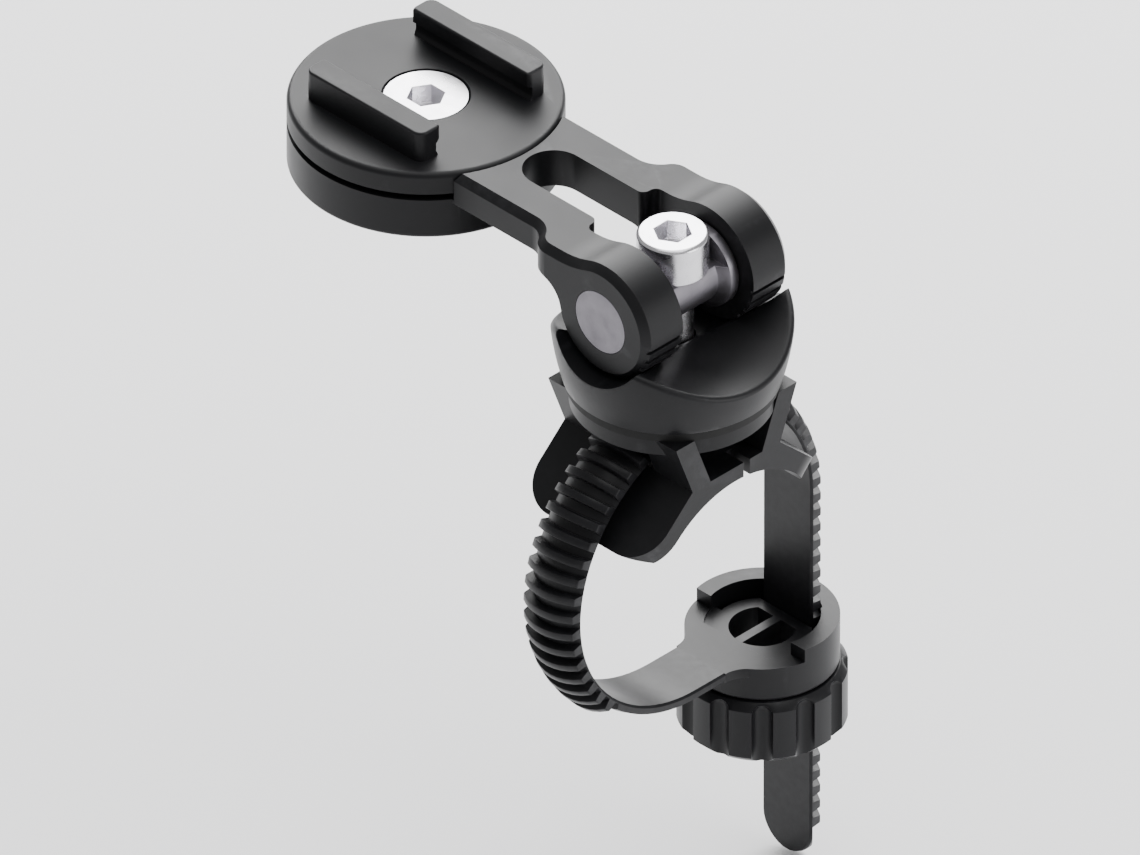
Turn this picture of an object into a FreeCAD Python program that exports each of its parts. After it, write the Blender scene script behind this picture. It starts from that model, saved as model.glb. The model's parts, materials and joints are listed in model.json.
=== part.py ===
"""Handlebar phone mount: a twist-lock head on a pitching arm, a swivel cradle and a screw-drawn strap.

Units are millimetres. The bar axis is X and the origin is on it, under the middle of the foot.
+Z is up through the foot, the cradle and the clamp screw, and the arm reaches out along -X.
Each function returns one piece, and the table at the end writes one file for each.
"""
import FreeCAD
import Part

import math
import os

# Bar saddle of the foot
bar_radius = 14.3
saddle_half_length = 10.5
saddle_half_angle = 57.0
saddle_wall = 2.0
wing_spread = 0.7
wing_drop = 5.3
wing_corner = 5.0
crease_y = 7.1
web_thickness = 3.0
web_lean = 0.38
web_sink = 0.6
web_inset = 0.1
notch_width = 1.0
notch_y = 1.7
notch_depth = 3.0
notch_roof = 2.0

# Flange, hub and swivel
flange_radius = 12.1
flange_lift = 6.9
flange_thickness = 2.2
hub_to_nut = 0.75
hub_height = 4.6
washer_radius = 12.5
washer_thickness = 1.3

# Cradle
cradle_base_radius = 12.9
cradle_rim_radius = 14.35
cradle_waist_radius = 13.9
cradle_waist_rise = 4.4
cradle_saddle_rise = 5.8
cradle_height = 12.3
scoop_radius = 24.0
scoop_crown_radius = 61.0
rim_round = 0.6
rim_search = 2.0
seam_limit = 1.0

# Arm pivot: the barrel pin and the two ears
pivot_rise = 12.8
pin_to_screw = 1.6
collar_step = 1.3
collar_width = 1.25
collar_slope = 0.9
ear_radius = 7.5
ear_width = 6.1
ear_chamfer = 0.9
ear_blend_top = 12.0
ear_blend_under = 3.0
rib_count = 4
rib_pitch_deg = 12.5
rib_first_deg = -9.0
rib_width = 0.55
rib_depth = 0.35

# Arm slab and head pad
head_radius = 16.25
head_reach = 24.25
arm_rise = 6.2
arm_thickness = 5.0
arm_half_width = 9.15
arm_flare_start = -14.0
arm_flare_end = -9.0
slot_half_width = 3.7
slot_end_x = -19.5
slot_flare_start = -9.5
slot_flare_end = -7.5
pad_drop = 2.8
pad_thickness = 5.4
pad_round = 0.6

# Head plate and its two rails
plate_gap = 0.85
plate_thickness = 2.85
plate_round = 0.7
boss_to_flat_head = 1.4
rail_length = 19.2
rail_inner = 7.2
rail_outer = 10.45
rail_height = 4.0
rail_lip = 1.9
rail_undercut = 0.7
rail_foot = 0.7
rail_round = 1.2
rail_sink = 0.5
rail_edge_round = 0.3

# Fasteners, in proportion to the one screw size
screw_radius = 2.5
cap_head_to_screw = 1.7
cap_height_to_screw = 1.98
flat_head_to_screw = 2.0
socket_to_screw = 1.6
nut_to_screw = 3.2
cap_chamfer = 0.35
tip_chamfer = 0.5
cap_socket_turn = 30.0
screw_seat_rise = 2.05
screw_length = 16.0
head_screw_length = 8.5
flat_head_rim = 0.3
flat_head_drop = 0.1
socket_depth = 2.5
nut_bevel = 0.35
nut_overhang = 0.65
nut_recess = 0.3
foot_nut_height = 4.0
head_nut_height = 2.7

# Strap: a segment of a threaded rod, bent round the bar
strap_standoff = 4.6
flat_to_rod_axis = 4.05
strap_width = 8.06
crest_radius = 6.95
root_radius = 5.95
tooth_pitch = 2.2
tooth_share = 0.55
tail_spare = 21.2
tail_plain_end = 4.1
loop_split_deg = 160.0
teeth_end_deg = 226.0
tongue_thickness = 1.3

# Strap cup and knob on the rod axis
cup_radius = 9.1
cup_rim_height = 1.7
cup_height = 4.6
cup_rim_start = -1.9
cup_base_round = 0.5
pocket_radius = 6.85
pocket_start = -4.55
pocket_moat_radius = 5.8
pocket_moat_depth = 2.0
pocket_moat_start = -1.0
pocket_floor_drop = 0.3
port_radius = 3.95
port_to_slot = 1.6
throat_round = 3.5
port_bar = 1.2
knob_radius = 10.1
knob_height = 8.3
knob_flutes = 12
flute_radius = 1.3
flute_depth = 1.1
knob_top_chamfer = 1.2
knob_top_bevel = 0.9
knob_bottom_chamfer = 0.9

# Clearances
bearing_gap = 0.05
easy_gap = 0.25
ear_gap = 0.15
cap_side_gap = 0.1
collar_side_gap = 0.2
nut_gap = 0.1
cup_gap = 0.1
strap_gap = 0.3
thread_gap = 0.15

# Sizes worked out from the ones above
wing_reach = bar_radius + wing_spread
wing_tip_height = bar_radius - wing_drop
cap_head_radius = screw_radius * cap_head_to_screw
cap_head_height = screw_radius * cap_height_to_screw
flat_head_radius = screw_radius * flat_head_to_screw
socket_across_flats = screw_radius * socket_to_screw
nut_across_flats = screw_radius * nut_to_screw
flange_bottom = bar_radius + flange_lift
flange_top = flange_bottom + flange_thickness
hub_radius = nut_across_flats * hub_to_nut
hub_top = flange_top + hub_height
washer_top = flange_top + washer_thickness
cradle_waist_z = washer_top + cradle_waist_rise
cradle_saddle_top = washer_top + cradle_saddle_rise
cradle_blank_top = washer_top + cradle_height
pivot_z = washer_top + pivot_rise
pin_radius = screw_radius * pin_to_screw
collar_radius = pin_radius + collar_step
collar_inner = cap_head_radius + cap_side_gap
collar_outer = collar_inner + collar_width
ear_inner = collar_outer + collar_side_gap
pin_half_length = ear_inner + ear_width
screw_seat_z = pivot_z + screw_seat_rise
screw_end_z = screw_seat_z - screw_length
foot_nut_bottom = screw_end_z - nut_overhang
head_x = -(head_radius + head_reach)
arm_top = pivot_z + arm_rise
arm_bottom = arm_top - arm_thickness
pad_bottom = pivot_z - pad_drop
pad_top = pad_bottom + pad_thickness
head_nut_bottom = pad_bottom + nut_recess
plate_bottom = pad_top + plate_gap
plate_top = plate_bottom + plate_thickness
plate_boss_radius = flat_head_radius * boss_to_flat_head
rail_top = plate_top + rail_height
head_screw_end = plate_top - flat_head_drop - head_screw_length
loop_radius = bar_radius + strap_standoff
rod_axis_y = loop_radius - flat_to_rod_axis
cup_top = -loop_radius
cup_rim_top = cup_top + cup_rim_height
cup_bottom = cup_top - cup_height
knob_top = cup_bottom - cup_gap
knob_bottom = knob_top - knob_height
tail_end_z = knob_bottom - tail_spare
tail_teeth_end_z = tail_end_z + tail_plain_end

# How far cutters run past what they cut, and the tolerances for picking edges
overcut = 1.0
edge_match = 1e-3
rim_match = 0.01
nearly_upright = 0.99

X_AXIS = FreeCAD.Vector(1, 0, 0)
Y_AXIS = FreeCAD.Vector(0, 1, 0)
Z_AXIS = FreeCAD.Vector(0, 0, 1)
ORIGIN = FreeCAD.Vector(0, 0, 0)


def box(x0, x1, y0, y1, z0, z1):
    return Part.makeBox(x1 - x0, y1 - y0, z1 - z0, FreeCAD.Vector(x0, y0, z0))


def upright(radius, z0, z1, x=0.0, y=0.0):
    """A cylinder along Z."""
    return Part.makeCylinder(radius, z1 - z0, FreeCAD.Vector(x, y, z0), Z_AXIS)


def across(radius, y0, y1, x=0.0, z=0.0):
    """A cylinder along Y."""
    return Part.makeCylinder(radius, y1 - y0, FreeCAD.Vector(x, y0, z), Y_AXIS)


def along(radius, x0, x1):
    """A cylinder along X on the bar axis."""
    return Part.makeCylinder(radius, x1 - x0, FreeCAD.Vector(x0, 0, 0), X_AXIS)


def outline(points):
    """A face from a closed polygon."""
    return Part.Face(Part.makePolygon(points + [points[0]]))


def plan_prism(points, z0, z1):
    return outline([FreeCAD.Vector(x, y, z0) for x, y in points]).extrude(Z_AXIS * (z1 - z0))


def side_prism(points, x0, x1):
    """A prism along X from (y, z) points."""
    return outline([FreeCAD.Vector(x0, y, z) for y, z in points]).extrude(X_AXIS * (x1 - x0))


def hexagon(across_flats, z0, z1, x=0.0, y=0.0, turn=0.0):
    """A hexagonal prism along Z; turn is the angle of its first corner."""
    corner = across_flats / math.sqrt(3)
    angles = [math.radians(turn + 60 * i) for i in range(6)]
    return plan_prism([(x + corner * math.cos(a), y + corner * math.sin(a)) for a in angles], z0, z1)


def spun(points, centre=ORIGIN, axis=Z_AXIS):
    """A solid of revolution from 3-D points in a plane through the axis."""
    return outline(points).revolve(centre, axis, 360)


def mirrored_y(shape):
    return shape.mirror(ORIGIN, Y_AXIS)


def circle_edges(shape, radius, z):
    """Circular edges of one radius at one height."""
    found = []
    for edge in shape.Edges:
        curve = edge.Curve
        if isinstance(curve, Part.Circle) and abs(curve.Radius - radius) < edge_match:
            if abs(curve.Center.z - z) < edge_match:
                found.append(edge)
    return found


def upright_line(edge):
    return abs(edge.tangentAt(edge.FirstParameter).z) > nearly_upright


def knurl_angles():
    step = 360.0 / knob_flutes
    return [math.radians(step * (i + 0.5) - 90) for i in range(knob_flutes)]


# Foot: saddle, webs, flange and hub in one moulding

def saddle():
    """The arched bar seat, thick at its two wings, with rounded corners seen from above."""
    half = math.radians(saddle_half_angle)
    tip_in = FreeCAD.Vector(0, bar_radius * math.sin(half), bar_radius * math.cos(half))
    crest = FreeCAD.Vector(0, 0, bar_radius)
    crown = bar_radius + saddle_wall
    tip_out = FreeCAD.Vector(0, wing_reach, wing_tip_height)
    crease = FreeCAD.Vector(0, crease_y, crown)

    def flipped(point):
        return FreeCAD.Vector(0, -point.y, point.z)

    edges = [
        Part.Arc(flipped(tip_in), crest, tip_in).toShape(),
        Part.makeLine(tip_in, tip_out),
        Part.makeLine(tip_out, crease),
        Part.makeLine(crease, flipped(crease)),
        Part.makeLine(flipped(crease), flipped(tip_out)),
        Part.makeLine(flipped(tip_out), flipped(tip_in)),
    ]
    section = Part.Face(Part.Wire(edges))
    section.translate(X_AXIS * -saddle_half_length)
    arch = section.extrude(X_AXIS * (2 * saddle_half_length))
    for corner in (wing_corner_cutter(), mirrored_y(wing_corner_cutter())):
        arch = arch.cut(corner)
    return arch


def wing_corner_cutter():
    """What the two rounded corners of the +Y wing leave out, seen square to the wing."""
    half = math.radians(saddle_half_angle)
    along_wing = FreeCAD.Vector(0, wing_reach - crease_y, wing_tip_height - bar_radius - saddle_wall)
    lean = math.degrees(math.atan2(along_wing.z, along_wing.y))
    origin = FreeCAD.Vector(0, crease_y, bar_radius + saddle_wall)
    tip = FreeCAD.Vector(0, bar_radius * math.sin(half), bar_radius * math.cos(half)) - origin
    turn = math.radians(lean)
    length = max(along_wing.Length, tip.y * math.cos(turn) + tip.z * math.sin(turn))
    blank = box(-saddle_half_length, saddle_half_length, 0, length, -bar_radius, bar_radius)
    ends = [e for e in blank.Edges if upright_line(e) and e.BoundBox.YMin > overcut]
    kept = blank.makeFillet(wing_corner, ends)
    cutter = blank.cut(kept)
    cutter.rotate(ORIGIN, X_AXIS, lean)
    cutter.translate(origin)
    return cutter


def web(x0, x1):
    """One leaning web between the saddle's crease and the flange."""
    low = bar_radius + saddle_wall - web_sink
    rise = flange_top - low
    y_low = crease_y - web_inset
    y_high = y_low + web_lean * rise
    points = [(y_low, low), (y_high, flange_top), (y_high - web_thickness, flange_top)]
    points.append((y_low - web_thickness, low))
    return side_prism(points, x0, x1)


def foot():
    slot_half = strap_width / 2 + strap_gap
    pieces = [upright(flange_radius, flange_bottom, flange_top)]
    pieces.append(upright(hub_radius, flange_top, hub_top))
    for x0, x1 in ((slot_half, saddle_half_length), (-saddle_half_length, -slot_half)):
        pieces.append(web(x0, x1))
        pieces.append(mirrored_y(web(x0, x1)))
    body = saddle().multiFuse(pieces)
    strap_outer = rod_axis_y + crest_radius + strap_gap
    strap_inner = loop_radius - strap_gap
    channel = along(strap_outer, -slot_half, slot_half).cut(along(strap_inner, -slot_half, slot_half))
    channel = channel.common(box(-slot_half, slot_half, -strap_outer, strap_outer, 0, strap_outer))
    pocket = hexagon(nut_across_flats + 2 * nut_gap, strap_inner, foot_nut_bottom + foot_nut_height)
    screw_way = upright(screw_radius + easy_gap, strap_inner, hub_top + overcut)
    notch = box(saddle_half_length - notch_depth, saddle_half_length + overcut, notch_y - notch_width / 2,
                notch_y + notch_width / 2, 0, flange_bottom - notch_roof)
    body = body.cut(channel).cut(pocket).cut(screw_way).cut(notch)
    return body.removeSplitter()


def nut(height, z0, x=0.0):
    blank = hexagon(nut_across_flats, z0, z0 + height, x)
    corner = nut_across_flats / math.sqrt(3)
    low = nut_across_flats / 2
    profile = [(0, z0), (low, z0), (corner, z0 + nut_bevel), (corner, z0 + height - nut_bevel)]
    profile += [(low, z0 + height), (0, z0 + height)]
    barrel = spun([FreeCAD.Vector(x + r, 0, z) for r, z in profile], FreeCAD.Vector(x, 0, 0))
    bore = upright(screw_radius + bearing_gap, z0 - overcut, z0 + height + overcut, x)
    return blank.common(barrel).cut(bore)


def foot_nut():
    """A captive nut that reaches a little past the screw's tip."""
    return nut(foot_nut_height, foot_nut_bottom)


# Swivel: thrust washer and cradle

def swivel_washer():
    ring = upright(washer_radius, flange_top, washer_top)
    return ring.cut(upright(hub_radius + easy_gap, flange_top - overcut, washer_top + overcut))


def cradle():
    """A flared cup whose top is scooped across the bar and crowned along it, with a seat for the ears."""
    low = FreeCAD.Vector(0, cradle_base_radius, washer_top)
    waist = FreeCAD.Vector(0, cradle_waist_radius, cradle_waist_z)
    high = FreeCAD.Vector(0, cradle_rim_radius, cradle_blank_top)
    edges = [
        Part.makeLine(Z_AXIS * washer_top, low),
        Part.Arc(low, waist, high).toShape(),
        Part.makeLine(high, Z_AXIS * cradle_blank_top),
        Part.makeLine(Z_AXIS * cradle_blank_top, Z_AXIS * washer_top),
    ]
    blank = Part.Face(Part.Wire(edges)).revolve(ORIGIN, Z_AXIS, 360)
    crown_centre = FreeCAD.Vector(0, 0, cradle_saddle_top - scoop_crown_radius)
    scoop = Part.makeTorus(scoop_crown_radius + scoop_radius, scoop_radius, crown_centre, Y_AXIS)
    scoop.rotate(crown_centre, Y_AXIS, 90)
    body = blank.cut(scoop)
    lowest = cradle_waist_z - rim_search
    outer = [e for e in body.Edges if e.BoundBox.ZMin > lowest and e.BoundBox.XLength > seam_limit]
    body = body.makeFillet(rim_round, outer)
    seat = across(ear_radius + ear_gap, -cradle_rim_radius - overcut, cradle_rim_radius + overcut, 0, pivot_z)
    bore = upright(hub_radius + bearing_gap, washer_top - overcut, hub_top + nut_gap)
    screw_way = upright(screw_radius + easy_gap, 0, cradle_blank_top)
    return body.cut(seat).cut(bore).cut(screw_way)


# Pivot: barrel pin and clamp screw

def barrel_pin():
    """A spool along Y: plain ends in the ears, a collar inside each ear and a flat for the screw head."""
    half = [(collar_inner - collar_slope, pin_radius), (collar_inner, collar_radius)]
    half += [(collar_outer, collar_radius), (collar_outer, pin_radius), (pin_half_length, pin_radius)]
    right = [FreeCAD.Vector(0, y, pivot_z + r) for y, r in half]
    left = [FreeCAD.Vector(0, -v.y, v.z) for v in reversed(right)]
    ends = [FreeCAD.Vector(0, pin_half_length, pivot_z), FreeCAD.Vector(0, -pin_half_length, pivot_z)]
    body = spun(left + right + ends, FreeCAD.Vector(0, 0, pivot_z), Y_AXIS)
    reach = collar_radius + overcut
    flat = box(-reach, reach, -collar_inner, collar_inner, screw_seat_z, pivot_z + reach)
    return body.cut(flat).cut(upright(screw_radius + easy_gap, pivot_z - reach, pivot_z + reach))


def clamp_screw():
    top = screw_seat_z + cap_head_height
    head = upright(cap_head_radius, screw_seat_z, top)
    head = head.makeChamfer(cap_chamfer, circle_edges(head, cap_head_radius, top))
    shank = upright(screw_radius, screw_end_z, screw_seat_z)
    shank = shank.makeChamfer(tip_chamfer, circle_edges(shank, screw_radius, screw_end_z))
    socket = hexagon(socket_across_flats, top - socket_depth, top + overcut, 0, 0, cap_socket_turn)
    return head.fuse(shank).cut(socket)


# Arm: slab, head pad and two ears

def s_bend(start, end):
    """Two equal arcs in the XY plane that leave start and reach end along X."""
    dx, dy = (end[0] - start[0]) / 2, (end[1] - start[1]) / 2
    radius = (dx * dx + dy * dy) / (2 * abs(dy))
    half = math.asin(abs(dx) / radius) / 2
    run = math.copysign(radius * math.sin(half), dx)
    rise = math.copysign(radius * (1 - math.cos(half)), dy)
    points = [start, (start[0] + run, start[1] + rise), (start[0] + dx, start[1] + dy)]
    points += [(end[0] - run, end[1] - rise), end]
    a, b, c, d, e = [FreeCAD.Vector(x, y, 0) for x, y in points]
    return [Part.Arc(a, b, c).toShape(), Part.Arc(c, d, e).toShape()]


def flat_line(start, end):
    return Part.makeLine(FreeCAD.Vector(*start, 0), FreeCAD.Vector(*end, 0))


def both_sides(half, closing):
    """A closed face from the +Y half of an outline, its mirror image and the edges that close them."""
    return Part.Face(Part.Wire(Part.__sortEdges__(half + [mirrored_y(e) for e in half] + closing)))


def arm_plan():
    """The arm from above: straight from the head, then flared out to the ears."""
    end_x = ear_radius + overcut
    flare_start = (arm_flare_start, arm_half_width)
    flare_end = (arm_flare_end, pin_half_length)
    half = [flat_line((head_x, arm_half_width), flare_start)] + s_bend(flare_start, flare_end)
    half.append(flat_line(flare_end, (end_x, pin_half_length)))
    ends = [flat_line((x, -y), (x, y)) for x, y in ((head_x, arm_half_width), (end_x, pin_half_length))]
    return both_sides(half, ends)


def slot_plan():
    """The slot from above: a round end, then flared out to the gap between the ears."""
    end_x = ear_radius + 2 * overcut
    start = (slot_end_x, slot_half_width)
    flare_start = (slot_flare_start, slot_half_width)
    flare_end = (slot_flare_end, ear_inner)
    half = [flat_line(start, flare_start)] + s_bend(flare_start, flare_end)
    half.append(flat_line(flare_end, (end_x, ear_inner)))
    round_end = Part.Arc(FreeCAD.Vector(slot_end_x, slot_half_width, 0),
                         FreeCAD.Vector(slot_end_x - slot_half_width, 0, 0),
                         FreeCAD.Vector(slot_end_x, -slot_half_width, 0)).toShape()
    return both_sides(half, [round_end, flat_line((end_x, -ear_inner), (end_x, ear_inner))])


def raised(face, z0, z1):
    """A prism along Z from a face in the XY plane."""
    face.translate(Z_AXIS * z0)
    return face.extrude(Z_AXIS * (z1 - z0))


def blend_points(level, radius, side):
    """Where a blend of one radius leaves a level face and meets the ear circle; side is +1 above."""
    rise = side * (level - pivot_z) + radius
    reach = ear_radius + radius
    centre = (-math.sqrt(reach ** 2 - rise ** 2), pivot_z + side * rise)
    foot_point = (centre[0], level)
    share = ear_radius / reach
    meet = (centre[0] * share, pivot_z + (centre[1] - pivot_z) * share)
    low_x, low_z = foot_point[0] - centre[0], foot_point[1] - centre[1]
    end_x, end_z = meet[0] - centre[0], meet[1] - centre[1]
    mid_x, mid_z = low_x + end_x, low_z + end_z
    size = math.hypot(mid_x, mid_z)
    middle = (centre[0] + radius * mid_x / size, centre[1] + radius * mid_z / size)
    return foot_point, middle, meet


def arm_side():
    """The arm from the side: a level slab that blends into the round ears, as wide as the ears."""
    def at(point):
        return FreeCAD.Vector(point[0], -pin_half_length, point[1])

    top = blend_points(arm_top, ear_blend_top, 1)
    under = blend_points(arm_bottom, ear_blend_under, -1)
    edges = [
        Part.makeLine(at((head_x, arm_bottom)), at((head_x, arm_top))),
        Part.makeLine(at((head_x, arm_top)), at(top[0])),
        Part.Arc(at(top[0]), at(top[1]), at(top[2])).toShape(),
        Part.Arc(at(top[2]), at((ear_radius, pivot_z)), at(under[2])).toShape(),
        Part.Arc(at(under[2]), at(under[1]), at(under[0])).toShape(),
        Part.makeLine(at(under[0]), at((head_x, arm_bottom))),
    ]
    return Part.Face(Part.Wire(edges)).extrude(Y_AXIS * (2 * pin_half_length))


def outer_rim(body):
    """The edges that run along the arm's top and round its ears on the outside."""
    rim = []
    for edge in body.Edges:
        box_of = edge.BoundBox
        far_out = min(abs(box_of.YMin), abs(box_of.YMax)) > arm_half_width - rim_match
        outside = far_out and box_of.YMin * box_of.YMax > 0
        on_top = box_of.ZMax > arm_top - rim_match
        upright_edge = box_of.ZLength > rim_match and box_of.XLength < rim_match
        if outside and on_top and not upright_edge:
            rim.append(edge)
    return rim


def rib_grooves():
    """Fine grooves parallel to the pivot, low on the free side of the ears."""
    cuts = []
    for i in range(rib_count):
        angle = rib_first_deg - rib_pitch_deg * i
        groove = box(ear_radius - rib_depth, ear_radius + overcut, -pin_half_length - overcut,
                     pin_half_length + overcut, -rib_width / 2, rib_width / 2)
        groove.rotate(ORIGIN, Y_AXIS, -angle)
        groove.translate(Z_AXIS * pivot_z)
        cuts.append(groove)
    return cuts


def arm():
    low, high = pivot_z - ear_radius - overcut, pivot_z + ear_radius + overcut
    blank = arm_side().common(raised(arm_plan(), low, high))
    blank = blank.makeChamfer(ear_chamfer, outer_rim(blank))
    pad = upright(head_radius, pad_bottom, pad_top, head_x)
    pad = pad.makeFillet(pad_round, circle_edges(pad, head_radius, pad_bottom))
    body = blank.fuse(pad)
    recess = upright(head_radius + easy_gap, pad_top, arm_top + overcut, head_x)
    pin_end = pin_half_length + overcut
    pin_hole = across(pin_radius + bearing_gap, -pin_end, pin_end, 0, pivot_z)
    nut_top = head_nut_bottom + head_nut_height
    nut_pocket = hexagon(nut_across_flats + 2 * nut_gap, pad_bottom - overcut, nut_top, head_x)
    screw_way = upright(screw_radius + easy_gap, pad_bottom, arm_top, head_x)
    for tool in [recess, raised(slot_plan(), low, high), pin_hole, nut_pocket, screw_way] + rib_grooves():
        body = body.cut(tool)
    return body.removeSplitter()


def head_nut():
    return nut(head_nut_height, head_nut_bottom, head_x)


# Head: plate with two rails, and its countersunk screw

def rail():
    """A rail along X on the +Y side: a lip over an undercut web on a flared foot."""
    lip_z = rail_top - rail_lip
    foot_z = plate_top + rail_foot
    inner_web = rail_inner + rail_undercut
    low = plate_top - rail_sink
    points = [(inner_web - rail_foot / 2, low), (rail_outer, low), (rail_outer, rail_top)]
    points += [(rail_inner, rail_top), (rail_inner, lip_z), (inner_web, lip_z - rail_undercut / 2)]
    points += [(inner_web, foot_z), (inner_web - rail_foot / 2, plate_top)]
    x0 = head_x - rail_length / 2
    body = side_prism(points, x0, x0 + rail_length)
    plan = box(x0, x0 + rail_length, rail_inner - rail_sink, rail_outer, low, rail_top)
    corners = [e for e in plan.Edges if upright_line(e)]
    plan = plan.makeFillet(rail_round, corners)
    rounded = body.common(plan)
    top_edges = [e for e in rounded.Edges if e.BoundBox.ZMin > rail_top - edge_match]
    return rounded.makeFillet(rail_edge_round, top_edges)


def head_plate():
    disc = upright(head_radius, plate_bottom, plate_top, head_x)
    disc = disc.makeFillet(plate_round, circle_edges(disc, head_radius, plate_top))
    boss = upright(plate_boss_radius, pad_top, plate_bottom, head_x)
    body = disc.multiFuse([boss, rail(), mirrored_y(rail())])
    rim = plate_top - flat_head_rim
    seat = FreeCAD.Vector(head_x, 0, 0)
    outer = flat_head_radius + easy_gap
    inner = screw_radius + easy_gap
    above = plate_top + overcut
    cone = [(0, above), (outer, above), (outer, rim), (inner, rim - outer + inner)]
    cone += [(inner, pad_top - overcut), (0, pad_top - overcut)]
    body = body.cut(spun([FreeCAD.Vector(head_x + r, 0, z) for r, z in cone], seat))
    return body.removeSplitter()


def head_screw():
    """The head's cone seats in the plate's countersink; its rim and shank are clear of it."""
    rim = plate_top - flat_head_rim - easy_gap + bearing_gap
    top = plate_top - flat_head_drop
    drop = flat_head_radius - screw_radius
    profile = [(0, top), (flat_head_radius, top), (flat_head_radius, rim), (screw_radius, rim - drop)]
    profile += [(screw_radius, head_screw_end), (0, head_screw_end)]
    seat = FreeCAD.Vector(head_x, 0, 0)
    body = spun([FreeCAD.Vector(head_x + r, 0, z) for r, z in profile], seat)
    return body.cut(hexagon(socket_across_flats, top - socket_depth, top + overcut, head_x))


# Strap: band section, loop, tail and teeth

def band_section(rod_radius):
    """The strap's section at the right of the loop, in the plane Z = 0: flat inside, round outside."""
    half = strap_width / 2
    shoulder = math.sqrt(rod_radius ** 2 - half ** 2)
    inner = loop_radius
    a = FreeCAD.Vector(-half, inner, 0)
    b = FreeCAD.Vector(half, inner, 0)
    c = FreeCAD.Vector(half, rod_axis_y + shoulder, 0)
    crest = FreeCAD.Vector(0, rod_axis_y + rod_radius, 0)
    d = FreeCAD.Vector(-half, rod_axis_y + shoulder, 0)
    edges = [Part.makeLine(a, b), Part.makeLine(b, c), Part.Arc(c, crest, d).toShape(), Part.makeLine(d, a)]
    return Part.Face(Part.Wire(edges))


def bent(rod_radius, start_deg, end_deg):
    """A stretch of the band round the bar; 0 degrees is +Y and 90 is the top."""
    section = band_section(rod_radius)
    section.rotate(ORIGIN, X_AXIS, start_deg)
    return section.revolve(ORIGIN, X_AXIS, end_deg - start_deg)


def bent_teeth(start_deg, end_deg):
    step = math.degrees(tooth_pitch / loop_radius)
    count = int((end_deg - start_deg) / step)
    starts = [start_deg + step * i for i in range(count)]
    return [bent(crest_radius, start, start + step * tooth_share) for start in starts]


def straight(rod_radius, z0, z1):
    section = band_section(rod_radius)
    section.translate(Z_AXIS * z0)
    return section.extrude(Z_AXIS * (z1 - z0))


def strap_tail():
    """The half of the strap that the foot and the knob hold: over the top, down the right and to the tip."""
    half = strap_width / 2
    tip_centre_z = tail_end_z + half
    shank = straight(root_radius, tail_end_z, 0)
    near = loop_radius - overcut
    far = loop_radius + 2 * root_radius
    tip = across(half, near, far, 0, tip_centre_z)
    tip = tip.fuse(box(-half, half, near, far, tip_centre_z, overcut))
    count = int(-tail_teeth_end_z / tooth_pitch)
    teeth = []
    for i in range(count):
        z1 = -tooth_pitch * (i + 1 - tooth_share)
        teeth.append(straight(crest_radius, z1 - tooth_pitch * tooth_share, z1))
    bend = bent(root_radius, 0, loop_split_deg)
    body = shank.common(tip).multiFuse([bend] + teeth + bent_teeth(0, loop_split_deg))
    return body.removeSplitter()


def strap_loop():
    """The half that bends as the knob draws the strap: down the left, then a smooth tongue into the cup."""
    half = strap_width / 2
    band = bent(root_radius, loop_split_deg, teeth_end_deg)
    teeth = bent_teeth(loop_split_deg, teeth_end_deg)
    thin = along(loop_radius + tongue_thickness, -half, half).cut(along(loop_radius, -half, half))
    wedge = outline([ORIGIN, at_angle(teeth_end_deg), at_angle((teeth_end_deg + 270) / 2), at_angle(270)])
    wedge.translate(X_AXIS * -half)
    tongue = thin.common(wedge.extrude(X_AXIS * strap_width))
    flat = box(-half, half, 0, rod_axis_y - throat_start(), -loop_radius - tongue_thickness, -loop_radius)
    return band.multiFuse(teeth + [tongue, flat]).removeSplitter()


def at_angle(degrees):
    """A point well outside the loop, level with the bar axis in X."""
    angle = math.radians(degrees)
    distance = 2 * loop_radius
    return FreeCAD.Vector(0, distance * math.cos(angle), distance * math.sin(angle))


# Cup and knob

def strap_opening(z0, z1, gap):
    """The space that the toothed tail needs, upright on the right of the rod axis."""
    half = strap_width / 2 + gap
    block = box(-half, half, loop_radius - gap, rod_axis_y + crest_radius + gap, z0, z1)
    return block.common(upright(crest_radius + gap, z0, z1, 0, rod_axis_y))


def throat_start():
    """How far from the rod axis the throat's corners leave the tongue's sides, tangent to both."""
    return math.sqrt((cup_radius + throat_round) ** 2 - (strap_width / 2 + throat_round) ** 2)


def cup_throat():
    """The short neck where the tongue runs into the cup, with a round corner on each side."""
    corner_x = strap_width / 2 + throat_round
    side = corner_x * cup_radius / (cup_radius + throat_round)
    y0 = rod_axis_y - throat_start()
    neck = box(-side, side, y0, rod_axis_y, cup_top - tongue_thickness, cup_top)
    for x in (-corner_x, corner_x):
        neck = neck.cut(upright(throat_round, cup_bottom, 0, x, y0))
    return neck


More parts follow.
